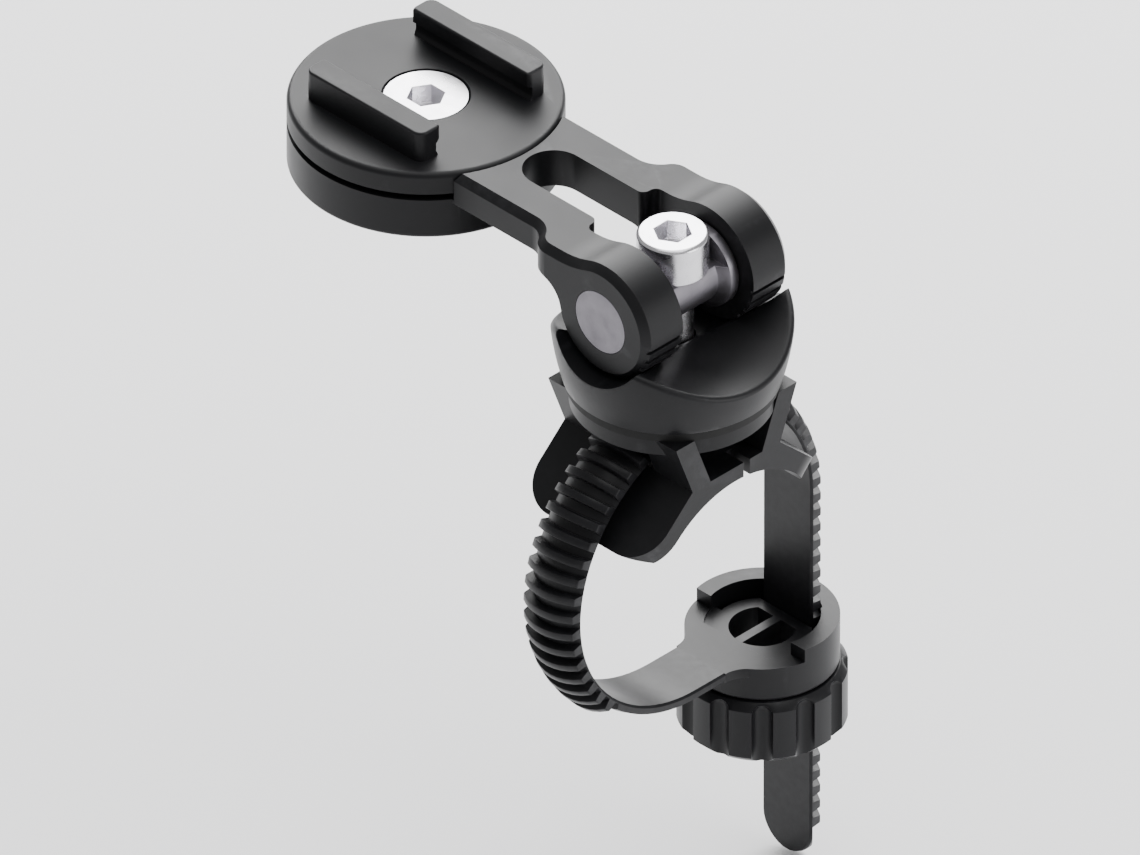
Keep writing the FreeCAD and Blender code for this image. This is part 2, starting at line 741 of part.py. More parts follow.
def strap_cup():
    y = rod_axis_y
    side = cup_radius + overcut
    body = upright(cup_radius, cup_bottom, cup_top, 0, y)
    rim = upright(cup_radius, cup_top, cup_rim_top, 0, y)
    rim = rim.common(box(-side, side, y + cup_rim_start, y + side, cup_top, cup_rim_top))
    body = body.multiFuse([rim, cup_throat()])
    pocket = upright(pocket_radius, cup_top - pocket_floor_drop, 0, 0, y)
    pocket = pocket.common(box(-side, side, y + pocket_start, y + side, cup_bottom, 0))
    moat_floor = cup_top - pocket_moat_depth
    moat = upright(pocket_radius, moat_floor, 0, 0, y).cut(upright(pocket_moat_radius, cup_bottom, 0, 0, y))
    moat = moat.common(box(-side, side, y + pocket_moat_start, y + side, cup_bottom, 0))
    ports = upright(port_radius, cup_bottom - overcut, 0, 0, y)
    ports = ports.cut(box(-port_bar / 2, port_bar / 2, y - side, y + side, cup_bottom - overcut, 0))
    ports = ports.common(box(-side, side, y - side, loop_radius - port_to_slot, cup_bottom - overcut, 0))
    slot = strap_opening(cup_bottom - overcut, 0, thread_gap)
    body = body.cut(pocket).cut(moat).cut(ports).cut(slot)
    return body.makeFillet(cup_base_round, circle_edges(body, cup_radius, cup_bottom))


def knob():
    """A fluted nut; its thread is a plain bore that clears the crests of the strap's teeth."""
    y = rod_axis_y
    body = upright(knob_radius, knob_bottom, knob_top, 0, y)
    cutters = []
    for angle in knurl_angles():
        reach = knob_radius - flute_depth + flute_radius
        flute_x = reach * math.cos(angle)
        flute_y = y + reach * math.sin(angle)
        flute_top = knob_top - knob_top_chamfer
        cutters.append(upright(flute_radius, knob_bottom - overcut, flute_top, flute_x, flute_y))
        cutters.append(Part.makeSphere(flute_radius, FreeCAD.Vector(flute_x, flute_y, flute_top)))
    body = body.makeChamfer(knob_bottom_chamfer, circle_edges(body, knob_radius, knob_bottom))
    body = body.makeChamfer(knob_top_bevel, circle_edges(body, knob_radius, knob_top))
    bore = upright(crest_radius + thread_gap, knob_bottom - overcut, knob_top + overcut, 0, y)
    return body.cut(Part.makeCompound(cutters)).cut(bore)


PIECES = {
    "foot": foot,
    "foot_nut": foot_nut,
    "strap_tail": strap_tail,
    "strap_loop": strap_loop,
    "swivel_washer": swivel_washer,
    "cradle": cradle,
    "barrel_pin": barrel_pin,
    "clamp_screw": clamp_screw,
    "arm": arm,
    "head_nut": head_nut,
    "head_plate": head_plate,
    "head_screw": head_screw,
    "strap_cup": strap_cup,
    "knob": knob,
}

os.makedirs("parts", exist_ok=True)
for node, make in PIECES.items():
    shape = make()
    if not shape.isValid() or len(shape.Solids) != 1:
        raise RuntimeError("%s: %d solids, valid %s" % (node, len(shape.Solids), shape.isValid()))
    shape.exportStep("parts/%s.step" % node)
    print("%-14s %9.1f mm3 %5d faces" % (node, shape.Volume, len(shape.Faces)))
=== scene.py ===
"""Handlebar phone mount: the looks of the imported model, laid out as an add-on."""
import json
import math

import bmesh
import bpy
from mathutils import Matrix, Vector


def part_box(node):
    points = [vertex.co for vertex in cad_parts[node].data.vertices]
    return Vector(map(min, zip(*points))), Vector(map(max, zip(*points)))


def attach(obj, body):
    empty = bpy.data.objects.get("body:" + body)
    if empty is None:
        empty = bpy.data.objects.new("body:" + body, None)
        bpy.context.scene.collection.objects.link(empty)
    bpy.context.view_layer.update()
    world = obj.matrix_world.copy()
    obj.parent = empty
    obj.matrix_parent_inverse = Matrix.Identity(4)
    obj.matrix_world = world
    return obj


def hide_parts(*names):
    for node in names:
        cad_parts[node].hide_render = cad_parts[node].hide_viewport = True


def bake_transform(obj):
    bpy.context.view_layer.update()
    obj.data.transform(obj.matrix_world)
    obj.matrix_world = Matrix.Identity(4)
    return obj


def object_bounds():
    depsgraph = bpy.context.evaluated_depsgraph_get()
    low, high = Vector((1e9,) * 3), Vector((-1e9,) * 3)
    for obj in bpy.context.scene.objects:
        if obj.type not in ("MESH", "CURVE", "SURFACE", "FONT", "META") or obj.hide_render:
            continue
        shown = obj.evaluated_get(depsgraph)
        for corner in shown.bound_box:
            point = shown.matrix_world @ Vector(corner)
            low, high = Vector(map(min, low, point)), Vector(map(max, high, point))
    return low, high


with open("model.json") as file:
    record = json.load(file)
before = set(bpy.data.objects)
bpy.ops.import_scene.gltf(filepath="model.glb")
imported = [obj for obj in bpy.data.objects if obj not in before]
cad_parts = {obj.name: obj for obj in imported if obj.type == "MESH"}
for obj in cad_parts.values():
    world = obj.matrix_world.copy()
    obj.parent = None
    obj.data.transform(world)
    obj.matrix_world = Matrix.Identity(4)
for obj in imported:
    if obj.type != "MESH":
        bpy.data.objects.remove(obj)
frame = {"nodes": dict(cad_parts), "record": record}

bl_info = {
    "name": "Handlebar Phone Mount",
    "version": (1, 0, 0),
    "blender": (4, 5, 0),
    "location": "3D View > Sidebar > Phone Mount",
    "description": "Builds the visible pieces, finishes and stage of a strap-on handlebar phone mount",
    "category": "Object",
}

CAD_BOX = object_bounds()
MM = 0.001

# Mesh building
MERGE_DISTANCE = 2e-6
BEVEL_MERGE = 1e-7
FLAT_ANGLE = 0.5
PIECE_SMOOTH_ANGLE = 40.0
RIM_ANGLE = 40.0

# Strap section, teeth and loft counts
BAND_CORNER = 0.25 * MM
SECTION_STEPS = 8
TOOTH_SINK = 0.3 * MM
TOOTH_LENGTH_SHARE = 0.56
TOOTH_TOP_SHARE = 0.82
TOOTH_ROOT_SHARE = 1.12
TOOTH_ROUND = 0.13 * MM
TONGUE_EDGE = 0.4 * MM
TONGUE_EDGE_DROP = 0.3 * MM
TIP_STEPS = 8
HELD_STEPS = 40
BENDING_STEPS = 16
TONGUE_STEPS = 12
TONGUE_LEAD_IN = 1
BOTTOM_ANGLE = 270
RUN_OUT_STEPS = 3

# Stage
FLOOR_DROP = 0.6 * MM
FLOOR_SIZE = 6.0
FLOOR_SHADE = 0.985
WORLD_STRENGTH = 0.42
LENS = 2400.0
SENSOR_WIDTH = 36.0
CENTRE_RIGHT = -11.9 * MM
CENTRE_UP = 13.57 * MM
CLIP_FAR = 3
CLIP_NEAR = 0.2


def middle(node):
    """The centre of a node's box."""
    low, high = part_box(node)
    return (Vector(low) + Vector(high)) / 2


# Settings

class MountFinish(bpy.types.PropertyGroup):
    """Colours and grain of the finishes."""
    moulding: bpy.props.FloatVectorProperty(
        name="Moulding", description="Colour of the moulded black pieces", subtype="COLOR",
        size=3, min=0, max=1, default=(0.007, 0.007, 0.008))
    anodised: bpy.props.FloatVectorProperty(
        name="Anodised", description="Colour of the black anodised arm", subtype="COLOR",
        size=3, min=0, max=1, default=(0.008, 0.008, 0.009))
    strap: bpy.props.FloatVectorProperty(
        name="Strap", description="Colour of the strap and its cup", subtype="COLOR",
        size=3, min=0, max=1, default=(0.007, 0.007, 0.008))
    steel: bpy.props.FloatVectorProperty(
        name="Steel", description="Colour of the bright fasteners", subtype="COLOR",
        size=3, min=0, max=1, default=(0.80, 0.79, 0.82))
    pin: bpy.props.FloatVectorProperty(
        name="Pin", description="Colour of the pivot pin", subtype="COLOR",
        size=3, min=0, max=1, default=(0.20, 0.19, 0.21))
    grain_size: bpy.props.FloatProperty(
        name="Grain size", description="Size of the moulding's fine texture", subtype="DISTANCE",
        unit="LENGTH", default=0.00022, min=0.00005)


class MountStrap(bpy.types.PropertyGroup):
    """Sizes of the toothed strap."""
    tooth_pitch: bpy.props.FloatProperty(
        name="Tooth pitch", description="Distance from tooth to tooth", subtype="DISTANCE",
        unit="LENGTH", default=0.0022, min=0.001)
    tooth_height: bpy.props.FloatProperty(
        name="Tooth height", description="Height of a tooth over the band", subtype="DISTANCE",
        unit="LENGTH", default=0.001, min=0.0002)
    loop_radius: bpy.props.FloatProperty(
        name="Loop radius", description="Radius of the strap's inner face round the bar",
        subtype="DISTANCE", unit="LENGTH", default=0.0189, min=0.005)
    tongue_thickness: bpy.props.FloatProperty(
        name="Tongue thickness", description="Thickness of the smooth tongue into the cup",
        subtype="DISTANCE", unit="LENGTH", default=0.0013, min=0.0005)
    split_angle: bpy.props.FloatProperty(
        name="Split", description="Where the bending half starts, round the bar from the tail",
        subtype="ANGLE", default=math.radians(160))
    smooth_angle: bpy.props.FloatProperty(
        name="End of the teeth", description="Where the teeth stop, round the bar from the tail",
        subtype="ANGLE", default=math.radians(228))


class MountStage(bpy.types.PropertyGroup):
    """Floor, lights and camera."""
    floor_colour: bpy.props.FloatVectorProperty(
        name="Floor", description="Colour of the floor", subtype="COLOR", size=3, min=0, max=1,
        default=(0.86, 0.86, 0.87))
    frame_width: bpy.props.FloatProperty(
        name="Frame width", description="Width of the scene that the camera takes in",
        subtype="DISTANCE", unit="LENGTH", default=0.13256, min=0.01)
    azimuth: bpy.props.FloatProperty(
        name="Azimuth", description="The camera's bearing round the mount", subtype="ANGLE",
        default=math.radians(45))
    elevation: bpy.props.FloatProperty(
        name="Elevation", description="The camera's height above the horizon", subtype="ANGLE",
        default=math.atan(1 / math.sqrt(2)))


# Finishes

def group_socket(tree, name, kind, direction, default=None):
    socket = tree.interface.new_socket(name=name, in_out=direction, socket_type=kind)
    if default is not None:
        socket.default_value = default
    return socket


def grain_group():
    """Fine moulded or blasted grain: a height, a roughness that drifts and a faint tone."""
    name = "Mount grain"
    if name in bpy.data.node_groups:
        return bpy.data.node_groups[name]
    tree = bpy.data.node_groups.new(name, "ShaderNodeTree")
    group_socket(tree, "Colour", "NodeSocketColor", "INPUT", (0.01, 0.01, 0.01, 1))
    group_socket(tree, "Roughness", "NodeSocketFloat", "INPUT", 0.4)
    group_socket(tree, "Size", "NodeSocketFloat", "INPUT", 0.0002)
    group_socket(tree, "Strength", "NodeSocketFloat", "INPUT", 0.15)
    group_socket(tree, "Tone", "NodeSocketFloat", "INPUT", 0.25)
    group_socket(tree, "Colour", "NodeSocketColor", "OUTPUT")
    group_socket(tree, "Roughness", "NodeSocketFloat", "OUTPUT")
    group_socket(tree, "Normal", "NodeSocketVector", "OUTPUT")
    node, link = tree.nodes.new, tree.links.new
    given = node("NodeGroupInput")
    out = node("NodeGroupOutput")
    coords = node("ShaderNodeTexCoord")
    scale = node("ShaderNodeMath")
    scale.operation = "DIVIDE"
    scale.inputs[0].default_value = 1.0
    link(given.outputs["Size"], scale.inputs[1])
    fine = node("ShaderNodeTexNoise")
    fine.inputs["Detail"].default_value = 3.0
    fine.inputs["Roughness"].default_value = 0.55
    link(coords.outputs["Object"], fine.inputs["Vector"])
    link(scale.outputs[0], fine.inputs["Scale"])
    broad = node("ShaderNodeTexNoise")
    broad.inputs["Scale"].default_value = 140.0
    broad.inputs["Detail"].default_value = 4.0
    link(coords.outputs["Object"], broad.inputs["Vector"])
    drift = ranged(tree, broad.outputs["Fac"], 0.3, 0.7, (-0.03, 0.03))
    rough = node("ShaderNodeMath")
    link(given.outputs["Roughness"], rough.inputs[0])
    link(drift, rough.inputs[1])
    lift = ranged(tree, broad.outputs["Fac"], 0.25, 0.75)
    amount = node("ShaderNodeMath")
    amount.operation = "MULTIPLY"
    link(lift, amount.inputs[0])
    link(given.outputs["Tone"], amount.inputs[1])
    brighter = node("ShaderNodeVectorMath")
    brighter.operation = "SCALE"
    brighter.inputs["Scale"].default_value = 1.6
    link(given.outputs["Colour"], brighter.inputs[0])
    mix = node("ShaderNodeMix")
    mix.data_type = "RGBA"
    link(amount.outputs[0], mix.inputs["Factor"])
    link(given.outputs["Colour"], mix.inputs["A"])
    link(brighter.outputs["Vector"], mix.inputs["B"])
    bump = node("ShaderNodeBump")
    bump.inputs["Distance"].default_value = 0.00004
    link(given.outputs["Strength"], bump.inputs["Strength"])
    link(fine.outputs["Fac"], bump.inputs["Height"])
    link(mix.outputs["Result"], out.inputs["Colour"])
    link(rough.outputs[0], out.inputs["Roughness"])
    link(bump.outputs["Normal"], out.inputs["Normal"])
    return tree


def rim_highlight_group():
    """Painted highlight on a moulding's convex rims: a lighter colour there, broken up by noise, with a
    lower roughness.
    """
    name = "Mount edge wear"
    if name in bpy.data.node_groups:
        return bpy.data.node_groups[name]
    tree = bpy.data.node_groups.new(name, "ShaderNodeTree")
    group_socket(tree, "Colour", "NodeSocketColor", "INPUT", (0.01, 0.01, 0.01, 1))
    group_socket(tree, "Roughness", "NodeSocketFloat", "INPUT", 0.4)
    group_socket(tree, "Highlight Colour", "NodeSocketColor", "INPUT", (0.05, 0.05, 0.05, 1))
    group_socket(tree, "Amount", "NodeSocketFloat", "INPUT", 0.5)
    group_socket(tree, "Colour", "NodeSocketColor", "OUTPUT")
    group_socket(tree, "Roughness", "NodeSocketFloat", "OUTPUT")
    node, link = tree.nodes.new, tree.links.new
    given = node("NodeGroupInput")
    out = node("NodeGroupOutput")
    shape = node("ShaderNodeNewGeometry")
    # Convex rims, found by pointiness, where the lighter colour of the painted highlight goes.
    ridge = ranged(tree, shape.outputs["Pointiness"], 0.53, 0.66)
    coords = node("ShaderNodeTexCoord")
    broken = node("ShaderNodeTexNoise")
    broken.inputs["Scale"].default_value = 900.0
    broken.inputs["Detail"].default_value = 5.0
    link(coords.outputs["Object"], broken.inputs["Vector"])
    patch = ranged(tree, broken.outputs["Fac"], 0.35, 0.65)
    mask = node("ShaderNodeMath")
    mask.operation = "MULTIPLY"
    link(ridge, mask.inputs[0])
    link(patch, mask.inputs[1])
    strength = node("ShaderNodeMath")
    strength.operation = "MULTIPLY"
    link(mask.outputs[0], strength.inputs[0])
    link(given.outputs["Amount"], strength.inputs[1])
    mix = node("ShaderNodeMix")
    mix.data_type = "RGBA"
    link(strength.outputs[0], mix.inputs["Factor"])
    link(given.outputs["Colour"], mix.inputs["A"])
    link(given.outputs["Highlight Colour"], mix.inputs["B"])
    smoother = node("ShaderNodeMath")
    smoother.operation = "MULTIPLY_ADD"
    smoother.inputs[1].default_value = -0.12
    link(strength.outputs[0], smoother.inputs[0])
    link(given.outputs["Roughness"], smoother.inputs[2])
    link(mix.outputs["Result"], out.inputs["Colour"])
    link(smoother.outputs[0], out.inputs["Roughness"])
    return tree


def ranged(tree, source, low, high, to=(0.0, 1.0)):
    """A map range node that carries source from low..high to another range."""
    fade = tree.nodes.new("ShaderNodeMapRange")
    fade.inputs["From Min"].default_value = low
    fade.inputs["From Max"].default_value = high
    fade.inputs["To Min"].default_value = to[0]
    fade.inputs["To Max"].default_value = to[1]
    tree.links.new(source, fade.inputs["Value"])
    return fade.outputs["Result"]


def new_material(name):
    material = bpy.data.materials.new(name)
    material.use_nodes = True
    tree = material.node_tree
    tree.nodes.clear()
    shader = tree.nodes.new("ShaderNodeBsdfPrincipled")
    out = tree.nodes.new("ShaderNodeOutputMaterial")
    tree.links.new(shader.outputs["BSDF"], out.inputs["Surface"])
    return material, tree, shader


def black_finish(name, colour, roughness, metallic=0.0, grain=0.15, painted_highlight=0.4, size=None, specular=0.22):
    """A satin black: grained, with a painted highlight and a lower roughness on its convex rims."""
    material, tree, shader = new_material(name)
    finish = bpy.context.scene.mount_finish
    node, link = tree.nodes.new, tree.links.new
    texture = node("ShaderNodeGroup")
    texture.node_tree = grain_group()
    texture.inputs["Colour"].default_value = (*colour, 1)
    texture.inputs["Roughness"].default_value = roughness
    texture.inputs["Size"].default_value = size or finish.grain_size
    texture.inputs["Strength"].default_value = grain
    rim_highlight = node("ShaderNodeGroup")
    rim_highlight.node_tree = rim_highlight_group()
    rim_highlight.inputs["Amount"].default_value = painted_highlight
    # Colour of the painted rim highlight: the base colour brightened about 3.5 times.
    rim_highlight.inputs["Highlight Colour"].default_value = (*(min(1.0, c * 3.5 + 0.01) for c in colour), 1)
    link(texture.outputs["Colour"], rim_highlight.inputs["Colour"])
    link(texture.outputs["Roughness"], rim_highlight.inputs["Roughness"])
    link(rim_highlight.outputs["Colour"], shader.inputs["Base Color"])
    link(rim_highlight.outputs["Roughness"], shader.inputs["Roughness"])
    link(texture.outputs["Normal"], shader.inputs["Normal"])
    shader.inputs["Metallic"].default_value = metallic
    shader.inputs["Specular IOR Level"].default_value = specular
    return material


def metal_finish(name, colour, roughness, centre, stretch=40.0, strength=0.1):
    """Bright metal with fine turned rings about a vertical axis through centre."""
    material, tree, shader = new_material(name)
    node, link = tree.nodes.new, tree.links.new
    coords = node("ShaderNodeTexCoord")
    place = node("ShaderNodeMapping")
    place.inputs["Location"].default_value = (-centre[0], -centre[1], 0)
    link(coords.outputs["Object"], place.inputs["Vector"])
    rings = node("ShaderNodeTexWave")
    rings.wave_type = "RINGS"
    rings.rings_direction = "Z"
    rings.inputs["Scale"].default_value = 2600.0
    rings.inputs["Distortion"].default_value = 2.0
    rings.inputs["Detail"].default_value = 2.0
    rings.inputs["Detail Scale"].default_value = stretch
    link(place.outputs["Vector"], rings.inputs["Vector"])
    cloud = node("ShaderNodeTexNoise")
    cloud.inputs["Scale"].default_value = 500.0
    cloud.inputs["Detail"].default_value = 5.0
    link(coords.outputs["Object"], cloud.inputs["Vector"])
    rough = ranged(tree, cloud.outputs["Fac"], 0.3, 0.7, (roughness - 0.05, roughness + 0.07))
    tone = node("ShaderNodeMix")
    tone.data_type = "RGBA"
    tone.inputs["A"].default_value = (*colour, 1)
    tone.inputs["B"].default_value = (*(c * 0.86 for c in colour), 1)
    link(cloud.outputs["Fac"], tone.inputs["Factor"])
    bump = node("ShaderNodeBump")
    bump.inputs["Strength"].default_value = strength
    bump.inputs["Distance"].default_value = 0.00002
    link(rings.outputs["Fac"], bump.inputs["Height"])
    link(tone.outputs["Result"], shader.inputs["Base Color"])
    link(rough, shader.inputs["Roughness"])
    link(bump.outputs["Normal"], shader.inputs["Normal"])
    shader.inputs["Metallic"].default_value = 1.0
    return material


def finishes():
    """Every finish by name, made once."""
    finish = bpy.context.scene.mount_finish
    pivot = middle("clamp_screw")
    head = middle("head_screw")
    made = {
        # In each black finish below, the rim amount is the strength of a painted highlight on its
        # convex rims.
        "moulding": lambda: black_finish("moulding_black", finish.moulding, 0.42, painted_highlight=0.5),
        "plate": lambda: black_finish("plate_black", finish.moulding, 0.44, painted_highlight=0.4, grain=0.12),
        "anodised": lambda: black_finish("anodised_black", finish.anodised, 0.40, metallic=0.15,
                                         grain=0.1, painted_highlight=0.35, size=0.00016),
        "strap": lambda: black_finish("strap_black", finish.strap, 0.38, painted_highlight=0.6, grain=0.1),
        "knob": lambda: black_finish("knob_black", finish.moulding, 0.36, painted_highlight=0.6, grain=0.12),
        "washer": lambda: black_finish("washer_black", (0.006, 0.006, 0.006), 0.6, painted_highlight=0.1),
        "cap_steel": lambda: metal_finish("cap_screw_steel", finish.steel, 0.24, pivot),
        "flat_steel": lambda: metal_finish("head_screw_steel", finish.steel, 0.28, head),
        "pin_steel": lambda: metal_finish("pivot_pin_steel", finish.pin, 0.42, pivot, strength=0.2),
    }
    found = {}
    for key, build in made.items():
        name = "mount_" + key
        if name not in bpy.data.materials:
            material = build()
            material.name = name
        found[key] = bpy.data.materials[name]
    return found


# Mesh helpers

def new_piece(name, bm, material, smooth_angle=35.0):
    """An object at the origin from a bmesh, shaded smooth except at its sharp edges."""
    for face in bm.faces:
        face.smooth = True
    limit = math.radians(smooth_angle)
    for edge in bm.edges:
        edge.smooth = len(edge.link_faces) == 2 and edge.calc_face_angle() < limit
    mesh = bpy.data.meshes.new(name)
    bm.to_mesh(mesh)
    bm.free()
    mesh.materials.append(material)
    piece = bpy.data.objects.new(name, mesh)
    bpy.context.scene.collection.objects.link(piece)
    return piece


def softened(node, name, material, width, segments=2, sharp_angle=32.0):
    """A merged copy of a CAD node whose sharp edges are rounded over."""
    bm = bmesh.new()
    bm.from_mesh(frame["nodes"][node].data)
    bmesh.ops.remove_doubles(bm, verts=bm.verts, dist=MERGE_DISTANCE)
    bmesh.ops.dissolve_limit(bm, angle_limit=math.radians(FLAT_ANGLE), verts=bm.verts, edges=bm.edges)
    limit = math.radians(sharp_angle)
    sharp = [e for e in bm.edges if len(e.link_faces) == 2 and e.calc_face_angle() > limit]
    bmesh.ops.bevel(bm, geom=sharp, offset=width, offset_type="OFFSET", segments=segments,
                    profile=0.5, affect="EDGES", material=-1, clamp_overlap=True)
    bmesh.ops.remove_doubles(bm, verts=bm.verts, dist=BEVEL_MERGE)
    piece = new_piece(name, bm, material, PIECE_SMOOTH_ANGLE)
    weighted = piece.modifiers.new("Even shading", "WEIGHTED_NORMAL")
    weighted.keep_sharp = True
    return piece


# Operators

class MOUNT_OT_materials(bpy.types.Operator):
    """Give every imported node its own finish"""
    bl_idname = "mount.materials"
    bl_label = "Finishes"

    def execute(self, context):
        made = finishes()
        wearing = {
            "foot": "moulding", "foot_nut": "flat_steel", "strap_tail": "strap", "strap_loop": "strap",
            "swivel_washer": "washer", "cradle": "moulding", "barrel_pin": "pin_steel",
            "clamp_screw": "cap_steel", "arm": "anodised", "head_nut": "flat_steel",
            "head_plate": "plate", "head_screw": "flat_steel", "strap_cup": "strap", "knob": "knob",
        }
        for node, key in wearing.items():
            mesh = frame["nodes"][node].data
            mesh.materials.clear()
            mesh.materials.append(made[key])
        return {"FINISHED"}


# Strap

def strap_sizes():
    """The strap's sizes in metres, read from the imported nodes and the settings."""
    settings = bpy.context.scene.mount_strap
    low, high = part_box("strap_tail")
    return {
        "half": (high[0] - low[0]) / 2,
        "crest": high[1],
        "inner": settings.loop_radius,
        "rod_y": middle("knob").y,
        "tip_z": low[2],
        "tongue_end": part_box("strap_cup")[0][1],
        "pitch": settings.tooth_pitch,
        "height": settings.tooth_height,
        "tongue": settings.tongue_thickness,
    }


def across_strap(half):
    """Even steps across the strap, from +half to -half."""
    return [half * (1 - 2 * i / SECTION_STEPS) for i in range(SECTION_STEPS + 1)]


def band_ring(size, half, outer):
    """One section of the strap at the start of the loop: flat inside, outer(x) outside."""
    corner = BAND_CORNER
    points = [(half - corner, size["inner"]), (half, size["inner"] + corner)]
    points += [(x, outer(x)) for x in across_strap(half)]
    points += [(-half, size["inner"] + corner), (-half + corner, size["inner"])]
    return [Vector((x, y, 0)) for x, y in points]


def add_loft(bm, rings):
    """A closed skin through rings of equal count."""
    edges = []
    for ring in rings:
        verts = [bmesh.ops.create_vert(bm, co=point)["vert"][0] for point in ring]
        pairs = zip(verts, verts[1:] + verts[:1])
        edges.append([bm.edges.new(pair) for pair in pairs])
    for near, far in zip(edges, edges[1:]):
        bmesh.ops.bridge_loops(bm, edges=near + far)
    for end in (edges[0], edges[-1]):
        bmesh.ops.contextual_create(bm, geom=end)


def turned(points, degrees):
    """Points of a section carried round the bar; 0 degrees is +Y and 90 is the top."""
    turn = Matrix.Rotation(math.radians(degrees), 4, "X")
    return [turn @ point for point in points]


def tooth_mesh(size):
    """One tooth across the strap at the start of the loop, leaning by the thread's lead."""
    crest_radius = size["crest"] - size["rod_y"]
    inner_radius = crest_radius - size["height"] - TOOTH_SINK
    length = size["pitch"] * TOOTH_LENGTH_SHARE
    outer = across_strap(size["half"])
    ring = [Vector((x, size["rod_y"] + math.sqrt(crest_radius ** 2 - x * x), 0)) for x in outer]
    floor_y = size["inner"] + TOOTH_SINK
    for x in outer:
        back_y = size["rod_y"] + math.sqrt(inner_radius ** 2 - x * x)
        ring.append(Vector((-x, max(floor_y, back_y), 0)))
    bm = bmesh.new()
    add_loft(bm, [[p + Vector((0, 0, z)) for p in ring] for z in (-length / 2, length / 2)])
    lead = size["pitch"] / (2 * math.pi * crest_radius)

    def on_top(vert):
        return math.hypot(vert.co.x, vert.co.y - size["rod_y"]) > crest_radius - size["height"] / 2

    for vert in bm.verts:
        vert.co.z *= TOOTH_TOP_SHARE if on_top(vert) else TOOTH_ROOT_SHARE
        vert.co.z -= vert.co.x * lead
    rims = [e for e in bm.edges if all(on_top(v) for v in e.verts) and is_rim(e)]
    bmesh.ops.bevel(bm, geom=rims, offset=TOOTH_ROUND, offset_type="OFFSET", segments=2, profile=0.5,
                    affect="EDGES", material=-1, clamp_overlap=True)
    bmesh.ops.recalc_face_normals(bm, faces=bm.faces)
    mesh = bpy.data.meshes.new("strap_tooth")
    bm.to_mesh(mesh)
    bm.free()
    return mesh


def is_rim(edge):
    return len(edge.link_faces) == 2 and edge.calc_face_angle() > math.radians(RIM_ANGLE)


def add_teeth(bm, tooth, places):
    for place in places:
        before = len(bm.verts)
        bm.from_mesh(tooth)
        bm.verts.ensure_lookup_table()
        bmesh.ops.transform(bm, matrix=place, verts=bm.verts[before:])


def arc_teeth(size, start, end):
    """Places of the teeth round the bar, evenly from start to end in degrees."""
    step = math.degrees(size["pitch"] / size["inner"])
    count = round((end - start) / step)
    return [Matrix.Rotation(math.radians(start + (end - start) * (i + 0.5) / count), 4, "X")
            for i in range(count)]


class MOUNT_OT_strap(bpy.types.Operator):
    """Mould the toothed strap as two pieces: the held half, attached to the base, and the rest of the
    loop round the bar, a fixed mesh
    """
    bl_idname = "mount.strap"
    bl_label = "Strap"

    def execute(self, context):
        settings = context.scene.mount_strap
        size = strap_sizes()
        material = finishes()["strap"]
        root = size["crest"] - size["rod_y"] - size["height"]
        tooth = tooth_mesh(size)
        split = math.degrees(settings.split_angle)
        smooth = math.degrees(settings.smooth_angle)

        def round_back(x):
            return size["rod_y"] + math.sqrt(root ** 2 - x * x)

        def flat_back(x):
            edge = min(1.0, (size["half"] - abs(x)) / TONGUE_EDGE)
            return size["inner"] + size["tongue"] - TONGUE_EDGE_DROP * (1 - edge)

        full = band_ring(size, size["half"], round_back)
        thin = band_ring(size, size["half"], flat_back)
        rings = []
        for i in range(1, TIP_STEPS + 1):
            bend = math.radians(90 * i / TIP_STEPS)
            narrow = band_ring(size, size["half"] * math.sin(bend), round_back)
            z = size["tip_z"] + size["half"] * (1 - math.cos(bend))
            rings.append([point + Vector((0, 0, z)) for point in narrow])
        rings += [turned(full, split * i / HELD_STEPS) for i in range(HELD_STEPS + 1)]
        held = bmesh.new()
        add_loft(held, rings)
        count = int((-size["tip_z"] - size["half"]) / size["pitch"])
        places = [Matrix.Translation((0, 0, -size["pitch"] * (i + 0.5))) for i in range(count)]
        add_teeth(held, tooth, places + arc_teeth(size, 0, split))
        bmesh.ops.recalc_face_normals(held, faces=held.faces)
        held_piece = new_piece("strap_held_half", held, material)
        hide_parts("strap_tail")
        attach(held_piece, "base")

        rings = [turned(full, split + (smooth - split) * i / BENDING_STEPS)
                 for i in range(BENDING_STEPS + 1)]
        run = BOTTOM_ANGLE - TONGUE_LEAD_IN - smooth
        rings += [turned(thin, smooth + TONGUE_LEAD_IN + run * i / TONGUE_STEPS)
                  for i in range(TONGUE_STEPS + 1)]
        last = turned(thin, BOTTOM_ANGLE)
        for i in range(1, RUN_OUT_STEPS + 1):
            along = Vector((0, size["tongue_end"] * i / RUN_OUT_STEPS, 0))
            rings.append([point + along for point in last])
        bending = bmesh.new()
        add_loft(bending, rings)
        add_teeth(bending, tooth, arc_teeth(size, split, smooth))
        bmesh.ops.recalc_face_normals(bending, faces=bending.faces)
        loop = new_piece("strap_bending_half", bending, material)
        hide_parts("strap_loop")
        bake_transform(loop)
        return {"FINISHED"}


class MOUNT_OT_housings(bpy.types.Operator):
    """Round over the edges of the moulded, machined and turned pieces"""
    bl_idname = "mount.housings"
    bl_label = "Softened edges"

    def execute(self, context):
        made = finishes()
        for node, (key, slot, width) in SOFTENED.items():
            piece = softened(node, node + "_finished", made[key], width * MM)
            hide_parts(node)
            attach(piece, body_of_node(node))
        return {"FINISHED"}


def body_of_node(node):
    for body, members in frame["record"]["behaviour"]["bodies"].items():
        if node in members:
            return body
    raise RuntimeError("no body holds " + node)


